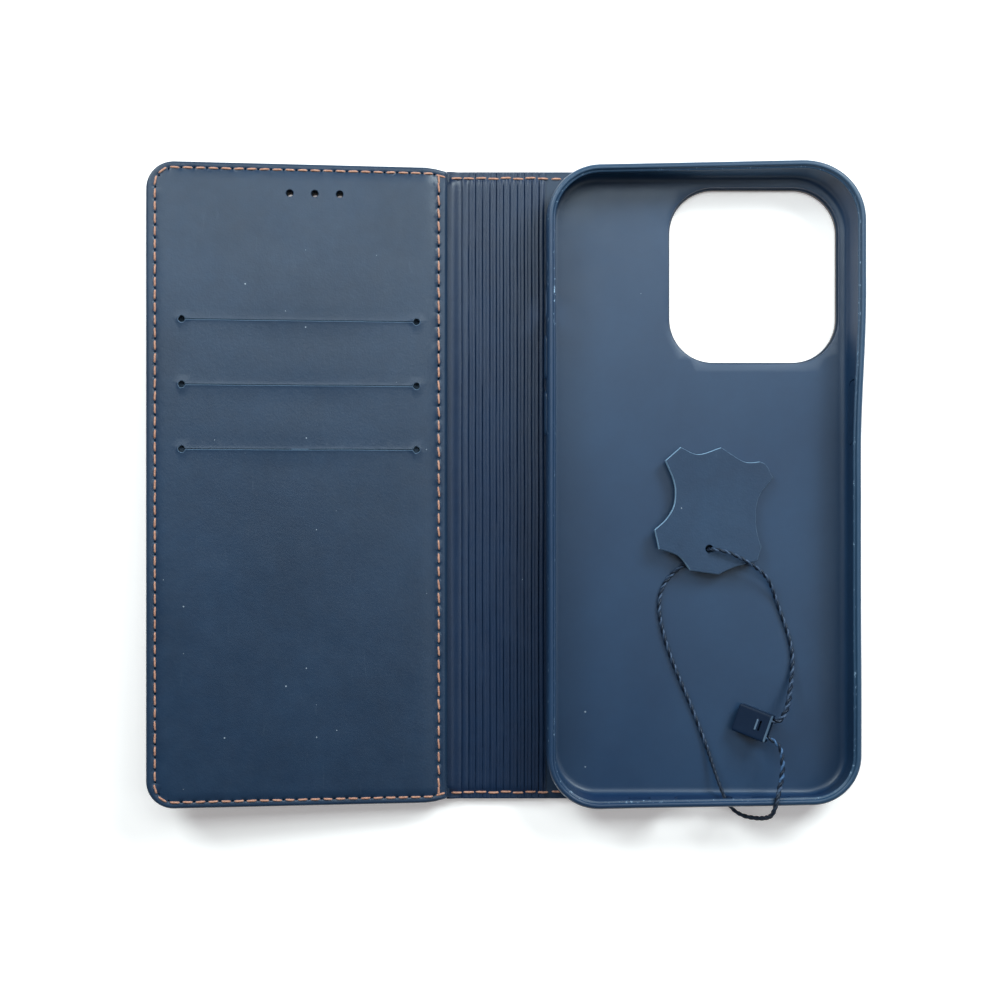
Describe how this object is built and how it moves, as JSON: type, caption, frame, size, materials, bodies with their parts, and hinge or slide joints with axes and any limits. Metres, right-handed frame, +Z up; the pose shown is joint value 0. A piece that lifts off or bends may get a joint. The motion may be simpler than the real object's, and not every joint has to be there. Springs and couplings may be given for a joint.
{
  "type": "phone wallet case",
  "caption": "Folding leather phone wallet case lying open: stitched front cover with card slots, ribbed spine, flexible phone tray with camera window, and a leather hang tag on a cord.",
  "frame": {"origin": "centre of the back panel's outer leather face, on the surface the open case lies on", "axes": "+X from the spine towards the tray's side-key wall (the front cover opens towards -X), +Y towards the phone's top edge, +Z up out of the tray"},
  "size_m": [0.1699, 0.1566, 0.013],
  "materials": {
    "tray": "semi-matte flexible TPU, navy",
    "tray_pad": "semi-matte flexible TPU, navy",
    "outer_leather": "fine grained navy leather, slight sheen",
    "inner_leather": "smooth fine grained navy leather, slight sheen",
    "spine_lining": "ribbed navy leather lining",
    "board": "grey board",
    "pocket_cloth": "thin dark lining cloth",
    "magnet": "plated magnet disc",
    "keeper": "thin steel disc",
    "thread": "waxed tan thread",
    "tag_leather": "navy split leather, pale cut edge",
    "cord": "twisted dark cord with paler strands",
    "seal_plastic": "moulded dark plastic"
  },
  "bodies": {
    "tray": {"phone_shell": "tray", "back_leather": "outer_leather", "back_board": "board", "keeper_plates": "keeper", "back_stitching": "thread", "tag_cord": "cord", "seal_housing": "seal_plastic", "seal_pin": "seal_plastic"},
    "spine_a": {"spine_leather_a": "outer_leather", "spine_ribs_a": "spine_lining", "spine_stitching_a": "thread"},
    "spine_b": {"spine_leather_b": "outer_leather", "spine_ribs_b": "spine_lining", "spine_stitching_b": "thread"},
    "spine_c": {"spine_leather_c": "outer_leather", "spine_ribs_c": "spine_lining", "spine_stitching_c": "thread"},
    "front_cover": {"cover_leather": "outer_leather", "cover_board": "board", "cover_magnets": "magnet", "pocket_base": "pocket_cloth", "card_pocket_top": "pocket_cloth", "card_pocket_middle": "pocket_cloth", "card_pocket_bottom": "pocket_cloth", "cover_lining": "inner_leather", "cover_stitching": "thread"},
    "volume_up_key": {"volume_up_pad": "tray_pad"},
    "volume_down_key": {"volume_down_pad": "tray_pad"},
    "side_key": {"side_button_pad": "tray_pad"},
    "tag": {"hang_tag": "tag_leather"}
  },
  "joints": [
    {"name": "spine_fold_1", "type": "hinge", "parent": "tray", "child": "spine_a", "pos_m": [-0.0374, 0, 0], "axis": [0, 1, 0], "range_deg": [-45, 43.1]},
    {"name": "spine_fold_2", "type": "hinge", "parent": "spine_a", "child": "spine_b", "pos_m": [-0.0447, 0, 0], "axis": [0, 1, 0], "range_deg": [-45, 43.1]},
    {"name": "spine_fold_3", "type": "hinge", "parent": "spine_b", "child": "spine_c", "pos_m": [-0.052, 0, 0], "axis": [0, 1, 0], "range_deg": [-45, 43.1]},
    {"name": "cover_fold", "type": "hinge", "parent": "spine_c", "child": "front_cover", "pos_m": [-0.0593, 0, 0], "axis": [0, 1, 0], "range_deg": [-45, 43.1]},
    {"name": "volume_up_press", "type": "slide", "parent": "tray", "child": "volume_up_key", "axis": [1, 0, 0], "range_m": [0, 0.00035], "stiffness_N_per_m": 2500},
    {"name": "volume_down_press", "type": "slide", "parent": "tray", "child": "volume_down_key", "axis": [1, 0, 0], "range_m": [0, 0.00035], "stiffness_N_per_m": 2500},
    {"name": "side_button_press", "type": "slide", "parent": "tray", "child": "side_key", "axis": [-1, 0, 0], "range_m": [0, 0.00035], "stiffness_N_per_m": 2500},
    {"name": "tag_swing", "type": "hinge", "parent": "tray", "child": "tag", "pos_m": [0.00197, -0.01536, 0.0053], "axis": [0.0586, 0.0521, 0.9969], "range_deg": [-6, 6]}
  ],
  "couplings": [
    {"joint": "spine_fold_2", "follows": "spine_fold_1", "ratio": 1},
    {"joint": "spine_fold_3", "follows": "spine_fold_1", "ratio": 1},
    {"joint": "cover_fold", "follows": "spine_fold_1", "ratio": 1}
  ]
}
